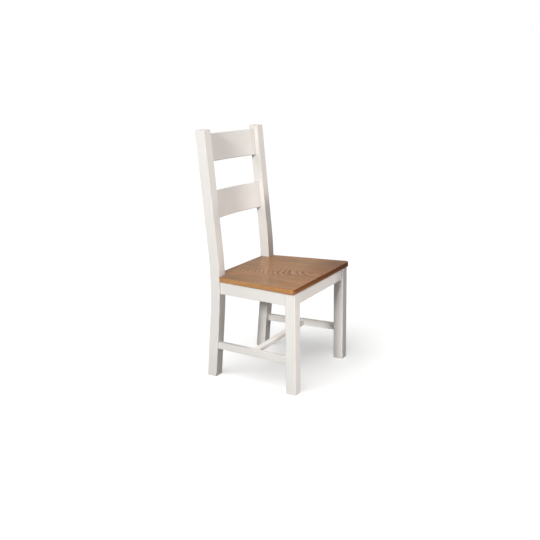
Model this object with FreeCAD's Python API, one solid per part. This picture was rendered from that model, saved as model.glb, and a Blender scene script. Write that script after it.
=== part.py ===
import FreeCAD, Part
import math
import os

# Ladderback dining chair: painted hardwood frame, two wide curved back slats,
# H-stretcher, solid oak seat notched round the rear posts.
# Millimetres. +Z up, the chair faces -Y, +X is the sitter's left.
# The outlines are drawn with y = 0 on the front faces of the front legs, and
# everything is moved at the end so that the origin is the centre of the
# bounding box on the floor.

V = FreeCAD.Vector

# ---------------------------------------------------------------- dimensions
SEAT_TOP = 456.0          # top of the seat above the floor
SEAT_T = 22.0             # seat board thickness
SEAT_FRONT_Y = -5.0       # seat front edge, 5 mm proud of the front legs
SEAT_REAR_Y = 416.0       # seat rear edge, just inside the back of the posts
SEAT_FRONT_HALF = 272.5   # half width at the front edge
SEAT_NOTCH_HALF = 233.6   # half width where the side edge meets the post
SEAT_CORNER_R = 18.0      # front corners in plan
SEAT_TOP_R = 3.5          # eased top arris
SEAT_BOT_R = 2.0          # eased bottom arris
SEAT_GAP = 0.5            # clearance of the notch round the post
BOARD_JOINTS = (-170.0, -85.0, 0.0, 85.0, 170.0)   # glue lines between the boards

LEG = 45.0                # square section of the front legs
LEG_HALF = 254.0          # outer face of the front legs
ARRIS = 2.2               # eased arrises of legs and posts

POST_W = 47.0             # width of the rear posts
POST_D = 45.0             # front-to-back depth of the rear posts
POST_HALF = 234.0         # outer face of the rear posts
POST_H = 1066.0           # top of the rear posts
POST_Y_FLOOR = 406.0      # front face of the post at the floor
POST_Y_TOP = 419.0        # front face of the post at its top
SWEEP_LOW = 0.099         # backward sweep of the leg, mm per mm
SWEEP_TOP = 0.085         # rake of the back, mm per mm
BEND_R = 1730.0           # radius that joins the two straight runs

APRON_H = 54.0
APRON_T = 20.0
FRONT_APRON_Y = 8.0       # outer face behind the leg faces
SIDE_APRON_FRONT = 253.3  # outer face at the back of the front leg
SIDE_APRON_REAR = 226.9   # outer face at the front of the rear post
REAR_APRON_INSET = 8.0    # outer face in front of the post backs

STR_Z = 130.0             # underside of the side stretchers
STR_H = 31.0
STR_T = 19.0
STR_FRONT = 251.0         # outer face of the side stretcher at y = 0
STR_REAR = 226.3          # outer face at y = 430
CROSS_Z = 132.0
CROSS_H = 18.0
CROSS_Y = 205.0
CROSS_D = 27.0

SLAT_H = 117.0
SLAT_T = 18.0
SLAT_BOW = 28.0           # how far the middle of a slat lies behind its ends
SLAT_SET = 20.0           # slat face behind the post front face, at the ends
SLAT_R = 4.0              # rounded long edges
CREST_Z = 932.5           # underside of the crest slat at its front face
LOWER_Z = 691.5           # underside of the lower slat at its front face

TENON_T = 10.0
SLAT_TENON_L = 20.0
STR_TENON_L = 20.0
CROSS_TENON_L = 10.0

DOWEL_D = 8.0
DOWEL_L = 40.0
DOWEL_Z = (394.0, 420.0)

BLOCK_H = 30.0            # corner blocks, flush under the seat
SCREW_D = 4.0
SCREW_HEAD = 8.0
SCREW_L = 36.0
BORE_D = 9.0              # counterbore over a screw head
SEAT_SCREW_L = 38.0

# ------------------------------------------------------------------- helpers
SEAT_BOT = SEAT_TOP - SEAT_T
APRON_Z = SEAT_BOT - APRON_H
LEG_IN = LEG_HALF - LEG
POST_IN = POST_HALF - POST_W


def box(x0, x1, y0, y1, z0, z1):
    return Part.makeBox(x1 - x0, y1 - y0, z1 - z0, V(x0, y0, z0))


def prism(points, z0, height):
    wire = Part.makePolygon([V(x, y, z0) for x, y in points] + [V(points[0][0], points[0][1], z0)])
    return Part.Face(wire).extrude(V(0, 0, height))


def mirror(shape):
    return shape.mirror(V(0, 0, 0), V(1, 0, 0))


def one(shape):
    solids = shape.Solids
    if len(solids) != 1:
        raise ValueError("expected one solid, got %d" % len(solids))
    return solids[0]


def fillet(shape, radius, pick):
    edges = [e for e in shape.Edges if pick(e)]
    return shape.makeFillet(radius, edges)


# ---------------------------------------------------------------- rear posts
def post_line():
    # two straight runs joined by one tangent arc, as (y, z)
    z_v = (POST_Y_FLOOR - POST_Y_TOP + SWEEP_TOP * POST_H) / (SWEEP_LOW + SWEEP_TOP)
    a, b = math.atan(SWEEP_LOW), math.atan(SWEEP_TOP)
    t = BEND_R * math.tan((a + b) / 2)
    z1 = z_v - t * math.cos(a)
    z2 = z_v + t * math.cos(b)
    y1 = POST_Y_FLOOR - SWEEP_LOW * z1
    y2 = POST_Y_TOP - SWEEP_TOP * (POST_H - z2)
    cz = z1 + BEND_R * math.sin(a)
    cy = y1 + BEND_R * math.cos(a)
    zm = (z1 + z2) / 2
    ym = cy - math.sqrt(BEND_R ** 2 - (zm - cz) ** 2)
    return (POST_Y_FLOOR, 0.0), (y1, z1), (ym, zm), (y2, z2), (POST_Y_TOP, POST_H), (cy, cz)


P0, P1, PM, P2, P3, PC = post_line()


def post_front(z):
    if z <= P1[1]:
        return POST_Y_FLOOR - SWEEP_LOW * z
    if z >= P2[1]:
        return POST_Y_TOP - SWEEP_TOP * (POST_H - z)
    return PC[0] - math.sqrt(BEND_R ** 2 - (z - PC[1]) ** 2)


def post_blank():
    # side profile on the outer face, +X side
    x = POST_IN
    f = [V(x, y, z) for y, z in (P0, P1, PM, P2, P3)]
    r = [V(x, y + POST_D, z) for y, z in (P0, P1, PM, P2, P3)]
    edges = [
        Part.LineSegment(f[0], f[1]).toShape(),
        Part.Arc(f[1], f[2], f[3]).toShape(),
        Part.LineSegment(f[3], f[4]).toShape(),
        Part.LineSegment(f[4], r[4]).toShape(),
        Part.LineSegment(r[4], r[3]).toShape(),
        Part.Arc(r[3], r[2], r[1]).toShape(),
        Part.LineSegment(r[1], r[0]).toShape(),
        Part.LineSegment(r[0], f[0]).toShape(),
    ]
    return Part.Face(Part.Wire(edges)).extrude(V(POST_W, 0, 0))


def long_edge(e):
    b = e.BoundBox
    return b.XLength < 1e-6 and b.ZLength > 50.0


post_raw = post_blank()
post = fillet(post_raw, ARRIS, long_edge)
post = fillet(post, 1.2, lambda e: e.BoundBox.ZLength < 1e-6 and e.BoundBox.ZMin > POST_H - 0.01)

# --------------------------------------------------------------- front legs
leg_raw = box(LEG_IN, LEG_HALF, 0.0, LEG, 0.0, SEAT_BOT)
leg = fillet(leg_raw, ARRIS, lambda e: e.BoundBox.ZLength > 100.0)
leg = fillet(leg, 1.0, lambda e: e.BoundBox.ZLength < 1e-6 and e.BoundBox.ZMax < 0.01)

# --------------------------------------------------------------------- slats
rake = math.atan(SWEEP_TOP)


def slat(z_low):
    half = POST_IN
    r_front = (half ** 2 + SLAT_BOW ** 2) / (2 * SLAT_BOW)
    r_back = r_front + SLAT_T
    cy = SLAT_BOW - r_front           # centre of the plan arcs, local y
    y_back = cy + math.sqrt(r_back ** 2 - half ** 2)
    a, b = V(-half, 0, 0), V(half, 0, 0)
    c, d = V(half, y_back, 0), V(-half, y_back, 0)
    wire = Part.Wire([
        Part.Arc(a, V(0, SLAT_BOW, 0), b).toShape(),
        Part.LineSegment(b, c).toShape(),
        Part.Arc(c, V(0, SLAT_BOW + SLAT_T, 0), d).toShape(),
        Part.LineSegment(d, a).toShape(),
    ])
    body = Part.Face(wire).extrude(V(0, 0, SLAT_H))
    body = fillet(body, SLAT_R, lambda e: e.BoundBox.XLength > 300.0 and e.BoundBox.ZLength < 1e-6)
    tenon_y = y_back / 2 - TENON_T / 2
    tenon = box(half, half + SLAT_TENON_L, tenon_y, tenon_y + TENON_T, 12.0, SLAT_H - 12.0)
    # the tenon starts inside the slat so that the two make one piece
    root = box(half - 3.0, half + SLAT_TENON_L, tenon_y, tenon_y + TENON_T, 12.0, SLAT_H - 12.0)
    body = body.fuse([root, mirror(root)]).removeSplitter()
    for s in (body, tenon):
        s.rotate(V(0, 0, 0), V(1, 0, 0), -math.degrees(rake))
        s.translate(V(0, post_front(z_low) + SLAT_SET, z_low))
    return one(body), tenon


crest, crest_tenon = slat(CREST_Z)
lower, lower_tenon = slat(LOWER_Z)


# -------------------------------------------------------------------- aprons
def side_line(x_a, y_a, x_b, y_b):
    # outer face of a rail on the +X side, as a function of y
    k = (x_b - x_a) / (y_b - y_a)
    return lambda y: x_a + k * (y - y_a), k


apron_x, apron_k = side_line(SIDE_APRON_FRONT, LEG, SIDE_APRON_REAR, post_front(SEAT_BOT - 25.0))
apron_w = APRON_T * math.sqrt(1 + apron_k ** 2)   # width measured along X
REAR_REACH = 20.0


def side_rail(x_of, width, y0, y1, z0, h):
    return prism([(x_of(y0), y0), (x_of(y1), y1), (x_of(y1) - width, y1), (x_of(y0) - width, y0)], z0, h)


def soften(shape, radius):
    # the long edges of a rail, which run from front to back or from side to side
    return fillet(shape, radius, lambda e: e.BoundBox.ZLength < 1e-6 and e.Length > 150.0)


side_apron = side_rail(apron_x, apron_w, LEG, post_front(SEAT_BOT) + REAR_REACH, APRON_Z, APRON_H)
side_apron = soften(side_apron, 1.5)
side_apron = one(side_apron.cut(post_raw))

front_apron = box(-LEG_IN, LEG_IN, FRONT_APRON_Y, FRONT_APRON_Y + APRON_T, APRON_Z, SEAT_BOT)
front_apron = soften(front_apron, 1.5)

rear_y1 = post_front(SEAT_BOT - 25.0) + POST_D - REAR_APRON_INSET
rear_y0 = rear_y1 - APRON_T
rear_apron = box(-POST_IN, POST_IN, rear_y0, rear_y1, APRON_Z, SEAT_BOT)
rear_apron = soften(rear_apron, 1.5)

# ---------------------------------------------------------------- stretchers
str_x, str_k = side_line(STR_FRONT, 0.0, STR_REAR, 430.0)
str_w = STR_T * math.sqrt(1 + str_k ** 2)
side_str = side_rail(str_x, str_w, LEG, post_front(STR_Z) + 15.0, STR_Z, STR_H)
side_str = soften(side_str, 2.0)
side_str = one(side_str.cut(post_raw))
str_inner = side_rail(str_x, str_w, LEG, 400.0, STR_Z, STR_H)


def str_tenon(y0, y1):
    mid = lambda y: str_x(y) - (str_w - TENON_T) / 2
    return side_rail(mid, TENON_T, y0, y1, STR_Z + 5.0, STR_H - 10.0)


tenon_front = str_tenon(LEG - STR_TENON_L, LEG)
y_rear = post_front(STR_Z + STR_H / 2)
tenon_rear = one(str_tenon(y_rear - 4.0, y_rear + STR_TENON_L).common(post_raw))
side_str = one(side_str.fuse([str_tenon(LEG - STR_TENON_L, LEG + 3.0),
                              str_tenon(y_rear - 6.0, y_rear + STR_TENON_L)]).removeSplitter())

cross_half = str_x(CROSS_Y) - str_w + 6.0
cross = box(-cross_half, cross_half, CROSS_Y, CROSS_Y + CROSS_D, CROSS_Z, CROSS_Z + CROSS_H)
cross = soften(cross, 2.0)
cross = one(cross.cut([str_inner, mirror(str_inner)]))
cx = str_x(CROSS_Y + CROSS_D / 2) - str_w
cross_tenon = box(cx - 4.0, cx + CROSS_TENON_L, CROSS_Y + 4.0, CROSS_Y + CROSS_D - 4.0,
                  CROSS_Z + 4.0, CROSS_Z + CROSS_H - 4.0)
cross = one(cross.fuse([cross_tenon, mirror(cross_tenon)]).removeSplitter())
side_str = one(side_str.cut(cross_tenon))

# -------------------------------------------------------------------- dowels
dowels = []       # +X side, then mirrored


def dowel(point, direction):
    d = V(*direction)
    d.normalize()
    start = V(*point) - d * (DOWEL_L / 2)
    c = Part.makeCylinder(DOWEL_D / 2, DOWEL_L, start, d)
    return c.makeChamfer(0.8, [e for e in c.Edges if e.Closed and e.Length > 10.0])


along = (apron_k, 1.0, 0.0)
for z in DOWEL_Z:
    dowels.append(dowel((LEG_IN, FRONT_APRON_Y + APRON_T / 2, z), (1, 0, 0)))
    dowels.append(dowel((POST_IN, (rear_y0 + rear_y1) / 2, z), (1, 0, 0)))
    dowels.append(dowel((apron_x(LEG) - apron_w / 2, LEG, z), along))
    yp = post_front(z)
    dowels.append(dowel((apron_x(yp) - apron_w / 2, yp, z), along))
dowels += [mirror(d) for d in dowels]

# ------------------------------------------------------------- corner blocks
BZ = SEAT_BOT - BLOCK_H
ax = lambda y: apron_x(y) - apron_w           # inner face of the side apron
fy = FRONT_APRON_Y + APRON_T                  # inner face of the front apron

front_block = prism([(150.0, fy), (LEG_IN, fy), (LEG_IN, LEG), (ax(LEG), LEG), (ax(106.0), 106.0),
                     (ax(106.0) - 8.0, 106.0), (150.0, fy + 8.0)], BZ, BLOCK_H)
yq = post_front(SEAT_BOT)
rear_block = prism([(112.0, rear_y0), (POST_IN, rear_y0), (POST_IN, yq + 3.0), (ax(yq + 3.0), yq + 3.0),
                    (ax(312.0), 312.0), (ax(312.0) - 8.0, 312.0), (112.0, rear_y0 - 8.0)], BZ, BLOCK_H)
rear_block = one(rear_block.cut(post_raw))

# -------------------------------------------------------------------- screws


def screw(length):
    # head at z = 0, point towards +Z
    h = 3.0
    r = SCREW_D / 2
    pts = [V(0, 0, 0), V(SCREW_HEAD / 2, 0, 0), V(SCREW_HEAD / 2, 0, 0.6), V(r, 0, h),
           V(r, 0, length - 5.0), V(0.4, 0, length), V(0, 0, length), V(0, 0, 0)]
    s = Part.Face(Part.makePolygon(pts)).revolve(V(0, 0, 0), V(0, 0, 1), 360)
    s = Part.Solid(Part.Shell(s.Faces)) if s.ShapeType != "Solid" else s
    cross_a = box(-2.2, 2.2, -0.45, 0.45, -0.1, 1.5)
    cross_b = box(-0.45, 0.45, -2.2, 2.2, -0.1, 1.5)
    return one(s.cut([cross_a, cross_b]))


def place(shape, point, direction):
    s = shape.copy()
    rot = FreeCAD.Rotation(V(0, 0, 1), V(*direction))
    s.Placement = FreeCAD.Placement(V(*point), rot)
    return s


def bore(point, direction, length):
    # counterbore behind a screw head, towards the driver
    d = V(*direction)
    d.normalize()
    return Part.makeCylinder(BORE_D / 2, length, V(*point) - d * length, d)


def hull_of(point, direction, length):
    # full solid envelope of a screw, without its cross recess
    h = 3.0
    r = SCREW_D / 2
    pts = [V(0, 0, 0), V(SCREW_HEAD / 2, 0, 0), V(SCREW_HEAD / 2, 0, 0.6), V(r, 0, h),
           V(r, 0, length - 5.0), V(0.4, 0, length), V(0, 0, length), V(0, 0, 0)]
    s = Part.Face(Part.makePolygon(pts)).revolve(V(0, 0, 0), V(0, 0, 1), 360)
    return place(s, point, direction)


block_screw_at = []     # (point of head, direction), +X side
zb = BZ + 11.0
# front block: one screw into the front apron, one into the side apron
block_screw_at.append(((176.0, fy + 22.0, zb), (0.0, -1.0, 0.0)))
side_n = (1.0, -apron_k, 0.0)
nl = math.hypot(1.0, apron_k)
for y_mid in (86.0, 332.0):
    px = ax(y_mid) - 22.0 / nl
    py = y_mid + 22.0 * apron_k / nl
    block_screw_at.append(((px, py, zb), side_n))
# rear block: one screw into the rear apron
block_screw_at.append(((138.0, rear_y0 - 22.0, zb), (0.0, 1.0, 0.0)))
seat_screw_at = [((206.0, 66.0, BZ + 6.0), (0.0, 0.0, 1.0)), ((180.0, 352.0, BZ + 6.0), (0.0, 0.0, 1.0))]

block_cut_f = [bore(p, d, 40.0) for p, d in (block_screw_at[0], block_screw_at[1])]
block_cut_r = [bore(p, d, 40.0) for p, d in (block_screw_at[2], block_screw_at[3])]
screw_cut = [hull_of(p, d, SCREW_L) for p, d in block_screw_at]
seat_bores = [bore(p, d, 6.0) for p, d in seat_screw_at]
seat_hulls = [hull_of(p, d, SEAT_SCREW_L) for p, d in seat_screw_at]

front_block = one(front_block.cut(block_cut_f + [screw_cut[0], screw_cut[1], seat_bores[0], seat_hulls[0]]))
rear_block = one(rear_block.cut(block_cut_r + [screw_cut[2], screw_cut[3], seat_bores[1], seat_hulls[1]]))

block_screws = [place(screw(SCREW_L), p, d) for p, d in block_screw_at]
block_screws += [mirror(s) for s in block_screws]
seat_screws = [place(screw(SEAT_SCREW_L), p, d) for p, d in seat_screw_at]
seat_screws += [mirror(s) for s in seat_screws]

# ---------------------------------------------------- openings in the pieces
half = dowels[:len(dowels) // 2]
leg_left = one(leg.cut([tenon_front] + half))
post_left = one(post.cut([crest_tenon, lower_tenon, tenon_rear] + half))
side_apron = one(side_apron.cut(half + screw_cut))
side_str_left = side_str
front_apron = one(front_apron.cut(dowels + [screw_cut[0], mirror(screw_cut[0])]))
rear_apron = one(rear_apron.cut(dowels + [screw_cut[3], mirror(screw_cut[3])]))

# ---------------------------------------------------------------------- seat
y_n = post_front(SEAT_TOP) - SEAT_GAP
k = (SEAT_NOTCH_HALF - SEAT_FRONT_HALF) / (y_n - SEAT_FRONT_Y)
sx = lambda y: SEAT_FRONT_HALF + k * (y - SEAT_FRONT_Y)
panel = prism([(-sx(SEAT_FRONT_Y), SEAT_FRONT_Y), (sx(SEAT_FRONT_Y), SEAT_FRONT_Y),
               (sx(SEAT_REAR_Y), SEAT_REAR_Y), (-sx(SEAT_REAR_Y), SEAT_REAR_Y)], SEAT_BOT, SEAT_T)
panel = fillet(panel, SEAT_CORNER_R, lambda e: e.BoundBox.ZLength > 10.0 and e.BoundBox.YMax < 10.0)
panel = fillet(panel, SEAT_TOP_R, lambda e: e.BoundBox.ZMin > SEAT_TOP - 0.01)
panel = fillet(panel, SEAT_BOT_R, lambda e: e.BoundBox.ZMax < SEAT_BOT + 0.01)
notch = box(POST_IN - SEAT_GAP, 300.0, y_n, 500.0, SEAT_BOT - 5.0, SEAT_TOP + 5.0)
panel = one(panel.cut([notch, mirror(notch)] + seat_hulls + [mirror(s) for s in seat_hulls]))
cuts = [-400.0] + list(BOARD_JOINTS) + [400.0]
boards = []
for a, b in zip(cuts[:-1], cuts[1:]):
    boards.append(one(panel.common(box(a, b, -100.0, 600.0, SEAT_BOT - 1.0, SEAT_TOP + 1.0))))

# --------------------------------------------------------------------- nodes
nodes = {
    "rear_post_left": post_left,
    "rear_post_right": mirror(post_left),
    "front_leg_left": leg_left,
    "front_leg_right": mirror(leg_left),
    "crest_slat": crest,
    "lower_slat": lower,
    "front_apron": front_apron,
    "rear_apron": rear_apron,
    "side_apron_left": side_apron,
    "side_apron_right": mirror(side_apron),
    "side_stretcher_left": side_str_left,
    "side_stretcher_right": mirror(side_str_left),
    "cross_stretcher": cross,
    "seat_board_right_outer": boards[0],
    "seat_board_right_middle": boards[1],
    "seat_board_right_inner": boards[2],
    "seat_board_left_inner": boards[3],
    "seat_board_left_middle": boards[4],
    "seat_board_left_outer": boards[5],
    "corner_block_front_left": front_block,
    "corner_block_front_right": mirror(front_block),
    "corner_block_rear_left": rear_block,
    "corner_block_rear_right": mirror(rear_block),
    "apron_dowels": Part.makeCompound(dowels),
    "block_screws": Part.makeCompound(block_screws),
    "seat_screws": Part.makeCompound(seat_screws),
}

# origin: centre of the bounding box, on the floor
extent = crest.optimalBoundingBox(False, False)
Y_SHIFT = -(SEAT_FRONT_Y + max(extent.YMax, POST_Y_TOP + POST_D)) / 2
os.makedirs("parts", exist_ok=True)
for name in sorted(nodes):
    shape = nodes[name].copy()
    shape.translate(V(0, Y_SHIFT, 0))
    for s in shape.Solids:
        if not s.isValid() or s.Volume <= 0:
            raise ValueError("bad solid in " + name)
    print("%-26s solids %2d volume %9.0f" % (name, len(shape.Solids), sum(s.Volume for s in shape.Solids)))
    shape.exportStep("parts/" + name + ".step")
print("y shift %.2f" % Y_SHIFT)
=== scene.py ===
import math

import bpy
from mathutils import Matrix, Vector


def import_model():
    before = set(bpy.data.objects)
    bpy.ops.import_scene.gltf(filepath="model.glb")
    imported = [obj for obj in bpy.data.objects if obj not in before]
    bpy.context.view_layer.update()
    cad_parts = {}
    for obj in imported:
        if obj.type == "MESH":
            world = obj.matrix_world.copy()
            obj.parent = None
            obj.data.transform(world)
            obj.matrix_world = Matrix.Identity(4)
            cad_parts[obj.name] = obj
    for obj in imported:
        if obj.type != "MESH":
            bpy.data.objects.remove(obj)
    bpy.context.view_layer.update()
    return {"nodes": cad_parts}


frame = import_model()
nodes = frame["nodes"]
scene = bpy.context.scene
scene.view_settings.view_transform = "Standard"
scene.view_settings.look = "None"

# ------------------------------------------------------------------ camera
# solved from the outline points of the chair in the photograph, 540 x 540
FOCAL_PX = 702.3
AZ, PITCH, ROLL = math.radians(-59.887), math.radians(14.225), math.radians(-1.079)
TARGET = Vector((0.0, -0.00904, 0.5))
DIST, SIDE, LIFT = 3.08198, -0.02408, -0.04828


def place_camera():
    back = Vector((math.sin(AZ) * math.cos(PITCH), -math.cos(AZ) * math.cos(PITCH), math.sin(PITCH)))
    right = (-back).cross(Vector((0, 0, 1))).normalized()
    up = right.cross(-back)
    r = right * math.cos(ROLL) + up * math.sin(ROLL)
    u = up * math.cos(ROLL) - right * math.sin(ROLL)
    at = TARGET + back * DIST + right * SIDE + up * LIFT
    data = bpy.data.cameras.new("camera")
    data.sensor_width = 36.0
    data.lens = FOCAL_PX / 540.0 * 36.0
    data.clip_end = 200.0
    cam = bpy.data.objects.new("camera", data)
    scene.collection.objects.link(cam)
    m = Matrix((r, u, back)).transposed().to_4x4()
    m.translation = at
    cam.matrix_world = m
    scene.camera = cam


place_camera()


# ---------------------------------------------------------------- node kit
class Graph:
    """Short hand for building one material."""

    def __init__(self, name):
        self.mat = bpy.data.materials.new(name)
        self.mat.use_nodes = True
        self.tree = self.mat.node_tree
        self.tree.nodes.clear()
        self.out = self.node("ShaderNodeOutputMaterial")
        self.bsdf = self.node("ShaderNodeBsdfPrincipled")
        self.link(self.bsdf.outputs[0], self.out.inputs["Surface"])

    def node(self, kind, **props):
        n = self.tree.nodes.new(kind)
        for k, v in props.items():
            setattr(n, k, v)
        return n

    def link(self, a, b):
        self.tree.links.new(a, b)

    def put(self, socket, value):
        if isinstance(value, bpy.types.NodeSocket):
            self.link(value, socket)
        else:
            socket.default_value = value

    def position(self):
        return self.node("ShaderNodeTexCoord").outputs["Object"]

    def normal(self):
        return self.node("ShaderNodeNewGeometry").outputs["Normal"]

    def math(self, op, a, b=None, c=None, clamp=False):
        n = self.node("ShaderNodeMath", operation=op, use_clamp=clamp)
        self.put(n.inputs[0], a)
        if b is not None:
            self.put(n.inputs[1], b)
        if c is not None:
            self.put(n.inputs[2], c)
        return n.outputs[0]

    def vec(self, op, a, b):
        n = self.node("ShaderNodeVectorMath", operation=op)
        self.put(n.inputs[0], a)
        self.put(n.inputs[1], b)
        return n.outputs[0]

    def split(self, v):
        n = self.node("ShaderNodeSeparateXYZ")
        self.put(n.inputs[0], v)
        return n.outputs[0], n.outputs[1], n.outputs[2]

    def join(self, x, y, z):
        n = self.node("ShaderNodeCombineXYZ")
        for s, v in zip(n.inputs, (x, y, z)):
            self.put(s, v)
        return n.outputs[0]

    def noise(self, v, scale=1.0, detail=2.0, rough=0.5, distort=0.0):
        n = self.node("ShaderNodeTexNoise")
        self.put(n.inputs["Vector"], v)
        n.inputs["Scale"].default_value = scale
        n.inputs["Detail"].default_value = detail
        n.inputs["Roughness"].default_value = rough
        n.inputs["Distortion"].default_value = distort
        return n.outputs["Fac"]

    def span(self, v, a, b, c=0.0, d=1.0, smooth=False):
        n = self.node("ShaderNodeMapRange", clamp=True)
        n.interpolation_type = "SMOOTHSTEP" if smooth else "LINEAR"
        self.put(n.inputs["Value"], v)
        for s, x in zip(("From Min", "From Max", "To Min", "To Max"), (a, b, c, d)):
            n.inputs[s].default_value = x
        return n.outputs["Result"]

    def mix(self, fac, a, b, blend="MIX"):
        n = self.node("ShaderNodeMix", data_type="RGBA", blend_type=blend)
        n.clamp_factor = True
        self.put(n.inputs[0], fac)
        for s, v in ((n.inputs[6], a), (n.inputs[7], b)):
            if isinstance(v, bpy.types.NodeSocket):
                self.link(v, s)
            else:
                s.default_value = (*v[:3], 1.0)
        return n.outputs[2]

    def ramp(self, fac, stops):
        n = self.node("ShaderNodeValToRGB")
        self.put(n.inputs[0], fac)
        e = n.color_ramp.elements
        while len(e) < len(stops):
            e.new(0.5)
        for item, (p, c) in zip(e, stops):
            item.position = p
            item.color = (*c, 1.0)
        return n.outputs[0]

    def bump(self, height, distance, strength=1.0):
        n = self.node("ShaderNodeBump")
        n.inputs["Strength"].default_value = strength
        n.inputs["Distance"].default_value = distance
        self.put(n.inputs["Height"], height)
        return n.outputs[0]


def scaled(g, v, along, wide, length, offset=0.0):
    """Coordinates that are stretched along one axis, for streaks of that width and length in metres."""
    s = [1.0 / wide] * 3
    s["XYZ".index(along)] = 1.0 / length
    if offset:
        v = g.vec("ADD", v, (offset, offset * 0.7, offset * 1.3))
    return g.vec("MULTIPLY", v, tuple(s))


# --------------------------------------------------------------- materials
PAINT = (0.715, 0.665, 0.628)
OAK_PALE = (0.460, 0.245, 0.106)
OAK_MID = (0.345, 0.162, 0.065)
OAK_DEEP = (0.180, 0.073, 0.026)


def paint(name, along, seed):
    """Satin off-white paint, brushed along the piece, over close-grained hardwood."""
    g = Graph(name)
    p = g.position()
    cloud = g.noise(g.vec("ADD", p, (seed, 0, 0)), scale=7.0, detail=3.0, rough=0.55)
    streak = g.noise(scaled(g, p, along, 0.0022, 0.16, seed), detail=3.0, rough=0.6)
    fine = g.noise(scaled(g, p, along, 0.0007, 0.05, seed + 3), detail=2.0)
    grain = g.noise(scaled(g, p, along, 0.006, 0.30, seed + 7), detail=4.0, rough=0.65, distort=0.6)
    tone = g.math("ADD", g.math("MULTIPLY", cloud, 0.5), g.math("MULTIPLY", streak, 0.5))
    dark = tuple(c * k for c, k in zip(PAINT, (0.955, 0.95, 0.94)))
    light = tuple(min(1.0, c * 1.03) for c in PAINT)
    col = g.mix(g.span(tone, 0.32, 0.68), dark, light)
    # painted shade: the paint colour is darkened towards grey brown in the crevices and where the pieces meet, by
    # ambient occlusion
    crevice_painted_shade = g.node("ShaderNodeAmbientOcclusion", samples=8)
    crevice_painted_shade.inputs["Distance"].default_value = 0.007
    col = g.mix(g.span(crevice_painted_shade.outputs["AO"], 0.25, 0.75, 0.55, 0.0), col, (0.42, 0.37, 0.33), "MULTIPLY")
    g.put(g.bsdf.inputs["Base Color"], col)
    rough = g.math("ADD", g.span(streak, 0.3, 0.7, 0.0, 0.07), g.span(cloud, 0.3, 0.7, 0.36, 0.44))
    g.put(g.bsdf.inputs["Roughness"], rough)
    h = g.math("ADD", g.math("MULTIPLY", streak, 0.6), g.math("MULTIPLY", fine, 0.25))
    h = g.math("ADD", h, g.math("MULTIPLY", grain, 0.8))
    g.put(g.bsdf.inputs["Normal"], g.bump(h, 0.00012))
    g.bsdf.inputs["Specular IOR Level"].default_value = 0.45
    return g.mat


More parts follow.
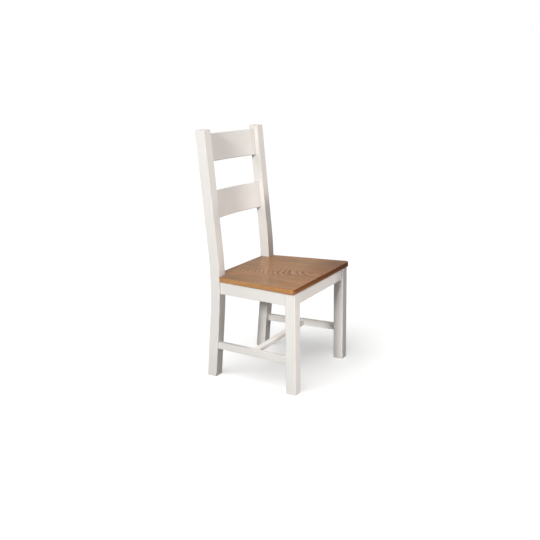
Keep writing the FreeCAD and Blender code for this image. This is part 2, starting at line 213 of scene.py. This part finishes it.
def oak(name, x0, z0, tilt, lean, rings, seed, painted_light_fade, figure=0.42, marks=(), shade_warmth=0.3):
    """Stained flat-sawn oak: rings round a pith line that runs roughly along Y, under the board at x0
    and z0 metres from the top of the seat, so the face shows cathedrals and the ends show arcs.
    painted_light_fade: painted light and shade, as the tone at the front, middle and back of the board; figure:
    strength of the rings;
    marks: small dark knots as (x, y, length, width); shade_warmth: how far the painted shade at the front warms the
    colour."""
    g = Graph(name)
    p = g.position()
    x, y, z = g.split(p)
    wob = g.noise(g.vec("MULTIPLY", g.vec("ADD", p, (seed * 1.7, seed, 0)), (16.0, 3.0, 16.0)), detail=3.0, rough=0.5)
    wob2 = g.noise(g.vec("MULTIPLY", g.vec("ADD", p, (seed, 0, 5)), (60.0, 9.0, 60.0)), detail=2.0)
    dx = g.math("ADD", g.math("SUBTRACT", x, x0), g.math("MULTIPLY", y, lean))
    rise = g.math("ADD", g.math("MULTIPLY", y, tilt), g.math("MULTIPLY", g.math("MULTIPLY", y, y), tilt * 1.1))
    dz = g.math("ADD", g.math("SUBTRACT", z, 0.456 + z0), rise)
    r = g.math("SQRT", g.math("ADD", g.math("MULTIPLY", dx, dx), g.math("MULTIPLY", dz, dz)))
    r = g.math("ADD", r, g.math("MULTIPLY", g.math("SUBTRACT", wob, 0.5), 0.008))
    r = g.math("ADD", r, g.math("MULTIPLY", g.math("SUBTRACT", wob2, 0.5), 0.0016))
    # uneven ring widths
    rr = g.math("ADD", g.math("MULTIPLY", r, rings), g.math("MULTIPLY", g.noise(g.join(r, seed, 0.0), scale=70.0, detail=2.0), 1.6))
    ph = g.math("FRACT", rr)
    early = g.math("SUBTRACT", 1.0, g.span(ph, 0.05, 0.60, smooth=True))
    early = g.math("MAXIMUM", early, g.span(ph, 0.86, 1.0, smooth=True))
    band = g.noise(g.join(g.math("MULTIPLY", rr, 0.21), seed + 2.0, 0.0), scale=1.0, detail=2.0)
    # pores: short dark dashes along the grain, most of them in the early wood
    pore = g.noise(scaled(g, p, "Y", 0.00075, 0.012, seed), detail=1.0, rough=0.4)
    pore = g.span(g.math("ADD", pore, g.math("MULTIPLY", early, 0.15)), 0.63, 0.73, smooth=True)
    pore_small = g.span(g.noise(scaled(g, p, "Y", 0.0004, 0.005, seed + 9), detail=0.0), 0.62, 0.74)
    pores = g.math("ADD", g.math("MULTIPLY", pore, 0.85), g.math("MULTIPLY", pore_small, 0.25), clamp=True)
    fibre = g.noise(scaled(g, p, "Y", 0.0011, 0.06, seed + 4), detail=3.0, rough=0.6)
    cloud = g.noise(g.vec("MULTIPLY", g.vec("ADD", p, (0, seed, 0)), (22.0, 5.0, 22.0)), detail=3.0)
    fleck = g.noise(scaled(g, p, "Y", 0.0045, 0.022, seed + 12), detail=1.0)
    fleck = g.span(fleck, 0.70, 0.76, smooth=True)
    # fainter lines inside each ring
    sub = g.math("PINGPONG", g.math("ADD", g.math("MULTIPLY", rr, 3.0), g.math("MULTIPLY", fibre, 0.5)), 1.0)
    k = g.math("ADD", g.math("MULTIPLY", early, figure), g.math("MULTIPLY", g.math("SUBTRACT", 1.0, band), 0.26))
    k = g.math("ADD", k, g.math("MULTIPLY", sub, 0.10))
    k = g.math("ADD", k, g.math("MULTIPLY", g.math("SUBTRACT", fibre, 0.5), 0.40))
    k = g.math("ADD", k, g.math("MULTIPLY", g.math("SUBTRACT", cloud, 0.5), 0.40))
    col = g.ramp(k, [(0.0, OAK_PALE), (0.42, OAK_MID), (1.0, OAK_DEEP)])
    col = g.mix(g.math("MULTIPLY", pores, 0.50), col, (0.100, 0.038, 0.014))
    col = g.mix(g.math("MULTIPLY", fleck, 0.35), col, (0.12, 0.046, 0.018))
    for mx, my, length, width in marks:
        away = g.math("ADD", g.math("POWER", g.math("DIVIDE", g.math("SUBTRACT", x, mx), width), 2.0),
                      g.math("POWER", g.math("DIVIDE", g.math("SUBTRACT", y, my), length), 2.0))
        away = g.math("ADD", away, g.math("MULTIPLY", g.math("SUBTRACT", fibre, 0.5), 1.2))
        col = g.mix(g.span(away, 0.2, 1.8, 0.62, 0.0, smooth=True), col, (0.085, 0.032, 0.014))
    # painted light and shade: the tone of each board changes from the front edge to the middle and the back, with
    # painted shade at the front of the far boards and a painted shadow line along the back edge
    front = g.span(y, -0.225, -0.06, painted_light_fade[0], painted_light_fade[1], smooth=True)
    back = g.span(y, 0.0, 0.12, 1.0, painted_light_fade[2] / painted_light_fade[1], smooth=True)
    tone = g.math("MULTIPLY", front, g.math("MULTIPLY", back, g.span(y, 0.155, 0.175, 0.89, 0.64)))
    # painted shade: towards the front edge the colour is multiplied by a warm brown, the colour the shade takes there
    col = g.mix(g.span(y, -0.225, -0.10, shade_warmth, 0.0, smooth=True), col, (1.0, 0.80, 0.62), "MULTIPLY")
    # painted light: the side edges of the boards take a tone a fifth brighter than the top, instead of its
    # front-to-back tone
    nx, ny, nz = g.split(g.normal())
    side = g.span(g.math("ABSOLUTE", nx), 0.5, 0.9, smooth=True)
    tone = g.math("ADD", g.math("MULTIPLY", tone, g.math("SUBTRACT", 1.0, side)), g.math("MULTIPLY", side, 1.20))
    col = g.mix(1.0, col, g.join(tone, tone, tone), "MULTIPLY")
    # end grain drinks the stain: dark, with the pores as dots and the rings as arcs
    end = g.span(g.math("ABSOLUTE", ny), 0.30, 0.95, smooth=True)
    dots = g.noise(scaled(g, p, "Y", 0.0007, 0.02, seed + 20), detail=2.0, rough=0.6)
    vert = g.noise(g.vec("MULTIPLY", p, (420.0, 20.0, 60.0)), detail=2.0)
    e = g.math("ADD", g.math("MULTIPLY", early, 0.45), g.math("ADD", g.math("MULTIPLY", dots, 0.45), g.math("MULTIPLY", vert, 0.35)))
    # painted highlight: a light band along the top arris of the front edge; below it the end grain is darker towards
    # the top and lighter towards the bottom
    e = g.math("ADD", e, g.math("SUBTRACT", g.span(z, 0.4395, 0.449, -0.12, 0.14, smooth=True), g.span(z, 0.4525, 0.4555, 0.0, 0.25)))
    endcol = g.ramp(e, [(0.15, (0.230, 0.088, 0.032)), (0.55, (0.120, 0.042, 0.0145)), (0.95, (0.045, 0.015, 0.006))])
    # painted light and shade: the end grain is made lighter on the near boards and darker on the far ones
    end_grain_painted_light = g.span(x, -0.24, 0.20, 1.90, 0.86)
    endcol = g.mix(1.0, endcol, g.join(end_grain_painted_light, end_grain_painted_light, end_grain_painted_light), "MULTIPLY")
    col = g.mix(end, col, endcol)
    g.put(g.bsdf.inputs["Base Color"], col)
    rough = g.math("ADD", g.span(cloud, 0.3, 0.7, 0.34, 0.44), g.math("MULTIPLY", pores, 0.12))
    rough = g.math("SUBTRACT", rough, g.math("MULTIPLY", end, 0.04))
    g.put(g.bsdf.inputs["Roughness"], rough)
    h = g.math("SUBTRACT", g.math("MULTIPLY", fibre, 0.25), g.math("MULTIPLY", pores, 0.9))
    h = g.math("SUBTRACT", h, g.math("MULTIPLY", early, 0.3))
    g.put(g.bsdf.inputs["Normal"], g.bump(h, 0.00010))
    g.bsdf.inputs["Specular IOR Level"].default_value = 0.45
    g.bsdf.inputs["Coat Weight"].default_value = 0.20
    g.bsdf.inputs["Coat Roughness"].default_value = 0.22
    g.bsdf.inputs["Coat IOR"].default_value = 1.5
    return g.mat


def beech(name):
    """Unfinished beech, pale, with the short dark ticks of its rays."""
    g = Graph(name)
    p = g.position()
    x, y, z = g.split(p)
    grain = g.noise(g.vec("MULTIPLY", p, (90.0, 90.0, 14.0)), detail=4.0, rough=0.6, distort=0.4)
    tick = g.span(g.noise(g.vec("MULTIPLY", p, (900.0, 900.0, 240.0)), detail=0.0), 0.66, 0.74)
    col = g.mix(g.span(grain, 0.3, 0.7), (0.50, 0.32, 0.19), (0.66, 0.47, 0.30))
    col = g.mix(g.math("MULTIPLY", tick, 0.4), col, (0.30, 0.17, 0.09))
    g.put(g.bsdf.inputs["Base Color"], col)
    g.put(g.bsdf.inputs["Roughness"], g.span(grain, 0.3, 0.7, 0.62, 0.72))
    g.put(g.bsdf.inputs["Normal"], g.bump(grain, 0.0001))
    return g.mat


def zinc(name):
    """Zinc plated screw steel with a yellow-grey bloom."""
    g = Graph(name)
    p = g.position()
    cloud = g.noise(p, scale=300.0, detail=3.0)
    scratch = g.noise(g.vec("MULTIPLY", p, (3000.0, 3000.0, 300.0)), detail=1.0)
    g.put(g.bsdf.inputs["Base Color"], g.mix(cloud, (0.55, 0.50, 0.38), (0.70, 0.69, 0.66)))
    g.put(g.bsdf.inputs["Roughness"], g.span(g.math("ADD", cloud, scratch), 0.6, 1.4, 0.28, 0.5))
    g.put(g.bsdf.inputs["Normal"], g.bump(scratch, 0.00002))
    g.bsdf.inputs["Metallic"].default_value = 1.0
    return g.mat


def dress(names, mat):
    for n in names:
        mesh = nodes[n].data
        mesh.materials.clear()
        mesh.materials.append(mat)


dress(["rear_post_left", "rear_post_right", "front_leg_left", "front_leg_right"], paint("paint_upright", "Z", 1.3))
dress(["crest_slat", "lower_slat", "front_apron", "rear_apron", "cross_stretcher"], paint("paint_across", "X", 4.1))
dress(["side_apron_left", "side_apron_right", "side_stretcher_left", "side_stretcher_right"], paint("paint_along", "Y", 8.6))
for board, pith_x, pith_z, tilt, lean, rings, seed, painted_light_fade, figure, marks in (
        ("right_outer", -0.330, -0.110, 0.02, 0.03, 330.0, 3.0, (1.04, 0.90, 0.80), 0.30, ()),
        ("right_middle", -0.200, -0.150, -0.04, 0.05, 300.0, 23.0, (1.0, 0.95, 1.08), 0.30, ()),
        ("right_inner", -0.028, -0.250, 0.400, 0.28, 126.0, 11.0, (1.08, 1.06, 1.08), 0.75, ((-0.024, 0.075, 0.026, 0.003),)),
        ("left_inner", 0.130, -0.085, 0.02, -0.03, 360.0, 19.0, (0.78, 0.98, 0.92), 0.28, ()),
        ("left_middle", 0.210, -0.120, 0.03, 0.02, 310.0, 27.0, (0.66, 0.98, 0.92), 0.28, ()),
        ("left_outer", 0.130, -0.100, -0.03, 0.0, 340.0, 35.0, (0.52, 1.00, 1.0), 0.28,
         ((0.190, -0.005, 0.007, 0.0025), (0.210, -0.113, 0.006, 0.0022), (0.202, -0.170, 0.006, 0.002)))):
    dress(["seat_board_" + board], oak("oak_" + board, pith_x, pith_z, tilt, lean, rings, seed, painted_light_fade, figure, marks, 0.9 if "left" in board else 0.3))
dress(["corner_block_front_left", "corner_block_front_right", "corner_block_rear_left", "corner_block_rear_right", "apron_dowels"], beech("beech"))
dress(["block_screws", "seat_screws"], zinc("zinc"))


# ------------------------------------------------------------------- stage
def floor():
    mesh = bpy.data.meshes.new("floor")
    s = 40.0
    mesh.from_pydata([(-s, -s, 0), (s, -s, 0), (s, s, 0), (-s, s, 0)], [], [(0, 1, 2, 3)])
    o = bpy.data.objects.new("floor", mesh)
    scene.collection.objects.link(o)
    g = Graph("floor_paper")
    soft = g.noise(g.position(), scale=3.0, detail=2.0)
    g.put(g.bsdf.inputs["Base Color"], g.mix(soft, (0.90, 0.90, 0.895), (0.92, 0.92, 0.915)))
    g.put(g.bsdf.inputs["Roughness"], g.span(soft, 0.3, 0.7, 0.8, 0.9))
    g.bsdf.inputs["Specular IOR Level"].default_value = 0.2
    mesh.materials.append(g.mat)
    # the photograph's paper is far brighter than the light it throws back on the chair
    o.visible_diffuse = False
    o.visible_glossy = False
    return o


def world(seen, backdrop, around):
    """White behind the chair. The lacquer mirrors a lit backdrop behind it and a dim room elsewhere."""
    w = bpy.data.worlds.new("studio")
    w.use_nodes = True
    t = w.node_tree
    path = t.nodes.new("ShaderNodeLightPath")
    way = t.nodes.new("ShaderNodeTexCoord")
    dot = t.nodes.new("ShaderNodeVectorMath")
    dot.operation = "DOT_PRODUCT"
    t.links.new(way.outputs["Generated"], dot.inputs[0])
    dot.inputs[1].default_value = (-math.sin(AZ), math.cos(AZ), 0.0)
    room = t.nodes.new("ShaderNodeMapRange")
    room.interpolation_type = "SMOOTHSTEP"
    for k, v in (("From Min", 0.6), ("From Max", 0.97), ("To Min", around), ("To Max", backdrop)):
        room.inputs[k].default_value = v
    t.links.new(dot.outputs["Value"], room.inputs["Value"])
    a = t.nodes.new("ShaderNodeMath")
    a.operation = "MULTIPLY"
    t.links.new(path.outputs["Is Glossy Ray"], a.inputs[0])
    t.links.new(room.outputs[0], a.inputs[1])
    b = t.nodes.new("ShaderNodeMix")
    b.inputs[3].default_value = seen
    t.links.new(path.outputs["Is Camera Ray"], b.inputs[0])
    t.links.new(a.outputs[0], b.inputs[2])
    t.links.new(b.outputs[0], t.nodes["Background"].inputs["Strength"])
    t.nodes["Background"].inputs["Color"].default_value = (1.0, 1.0, 1.0, 1.0)
    scene.world = w


def flag(x0, x1, y, top):
    """A black card that keeps the front lights off the far side of the chair. Only its shadow shows."""
    mesh = bpy.data.meshes.new("flag")
    mesh.from_pydata([(x0, y, 0), (x1, y, 0), (x1, y, top), (x0, y, top)], [], [(0, 1, 2, 3)])
    o = bpy.data.objects.new("flag", mesh)
    scene.collection.objects.link(o)
    g = Graph("flag_felt")
    g.put(g.bsdf.inputs["Base Color"], g.mix(g.noise(g.position(), scale=40.0), (0.02, 0.02, 0.02), (0.03, 0.03, 0.03)))
    mesh.materials.append(g.mat)
    o.visible_camera = o.visible_diffuse = o.visible_glossy = o.visible_transmission = False
    return o


def softbox(name, azimuth, elevation, distance, size, power, aim=(0.0, 0.0, 0.5), colour=(1.0, 1.0, 1.0), flagged=False, lit=None, gloss=True):
    a, e = math.radians(azimuth), math.radians(elevation)
    d = Vector((math.sin(a) * math.cos(e), -math.cos(a) * math.cos(e), math.sin(e)))
    data = bpy.data.lights.new(name, "AREA")
    data.shape = "RECTANGLE"
    data.size, data.size_y = size
    data.energy = power
    data.color = colour
    o = bpy.data.objects.new(name, data)
    scene.collection.objects.link(o)
    o.location = Vector(aim) + d * distance
    o.rotation_euler = d.to_track_quat("Z", "Y").to_euler()
    o.visible_camera = False
    o.visible_glossy = gloss
    o.light_linking.receiver_collection = lit or all_but_paper
    if not flagged:
        o.light_linking.blocker_collection = all_but_flag
    return o


def paper_light(name, azimuth, elevation, strength, spread, shadow=True):
    """A light for the paper alone, so that it stays white to its edges and keeps a soft shadow."""
    data = bpy.data.lights.new(name, "SUN")
    data.energy = strength
    data.angle = math.radians(spread)
    data.use_shadow = shadow
    o = bpy.data.objects.new(name, data)
    scene.collection.objects.link(o)
    a, e = math.radians(azimuth), math.radians(elevation)
    d = Vector((math.sin(a) * math.cos(e), -math.cos(a) * math.cos(e), math.sin(e)))
    o.rotation_euler = d.to_track_quat("Z", "Y").to_euler()
    o.light_linking.receiver_collection = only_paper
    o.light_linking.blocker_collection = all_but_flag


paper = floor()
only_paper = bpy.data.collections.new("only_paper")
only_paper.objects.link(paper)
all_but_paper = bpy.data.collections.new("all_but_paper")
all_but_paper.objects.link(paper)
all_but_paper.collection_objects[0].light_linking.link_state = "EXCLUDE"
card = flag(0.235, 0.95, -0.30, 1.075)
all_but_flag = bpy.data.collections.new("all_but_flag")
all_but_flag.objects.link(card)
all_but_flag.collection_objects[0].light_linking.link_state = "EXCLUDE"
paper_light("paper_light", -95.0, 60.0, 2.0, 50.0)
paper_light("paper_fill", -95.0, 60.0, 2.3, 50.0, shadow=False)
in_the_open = [n for n in nodes if n.startswith("seat_board") or n.endswith("_slat")]
only_open = bpy.data.collections.new("only_open")
all_but_open = bpy.data.collections.new("all_but_open")
all_but_open.objects.link(paper)
for n in in_the_open:
    only_open.objects.link(nodes[n])
    all_but_open.objects.link(nodes[n])
for c in all_but_open.collection_objects:
    c.light_linking.link_state = "EXCLUDE"
softbox("key", -84.0, 22.0, 5.0, (0.6, 0.6), 228.0, colour=(0.98, 1.03, 1.045), gloss=False)
softbox("side", -110.0, 20.0, 5.0, (1.3, 1.3), 38.0, gloss=False)
softbox("high", -70.0, 40.0, 4.0, (0.8, 0.8), 15.0)
# the flag keeps these two off the far legs, but not off the seat and the slats
softbox("front", 20.0, 40.0, 5.0, (0.4, 0.4), 71.0, flagged=True, lit=all_but_open)
softbox("front_far", 45.0, 30.0, 5.0, (0.4, 0.4), 70.0, flagged=True, lit=all_but_open)
softbox("front_fill", 32.0, 35.0, 5.0, (1.0, 1.0), 9.0, lit=all_but_open)
softbox("front_open", 20.0, 40.0, 5.0, (0.8, 0.8), 72.0, lit=only_open)
softbox("front_far_open", 45.0, 30.0, 5.0, (0.8, 0.8), 70.0, lit=only_open)
softbox("front_mid", 0.0, 35.0, 5.0, (1.0, 1.0), 32.0)
softbox("low_front", -20.0, -12.0, 1.5, (0.5, 0.5), 8.4, gloss=False)
softbox("low_near", -45.0, -12.0, 1.5, (0.5, 0.5), 2.0, gloss=False)
softbox("back", 165.0, 15.0, 5.0, (1.3, 1.3), 170.0, gloss=False)
softbox("far_side", 100.0, 20.0, 5.0, (1.3, 1.3), 110.0, gloss=False)
world(1.0, 0.45, 0.03)
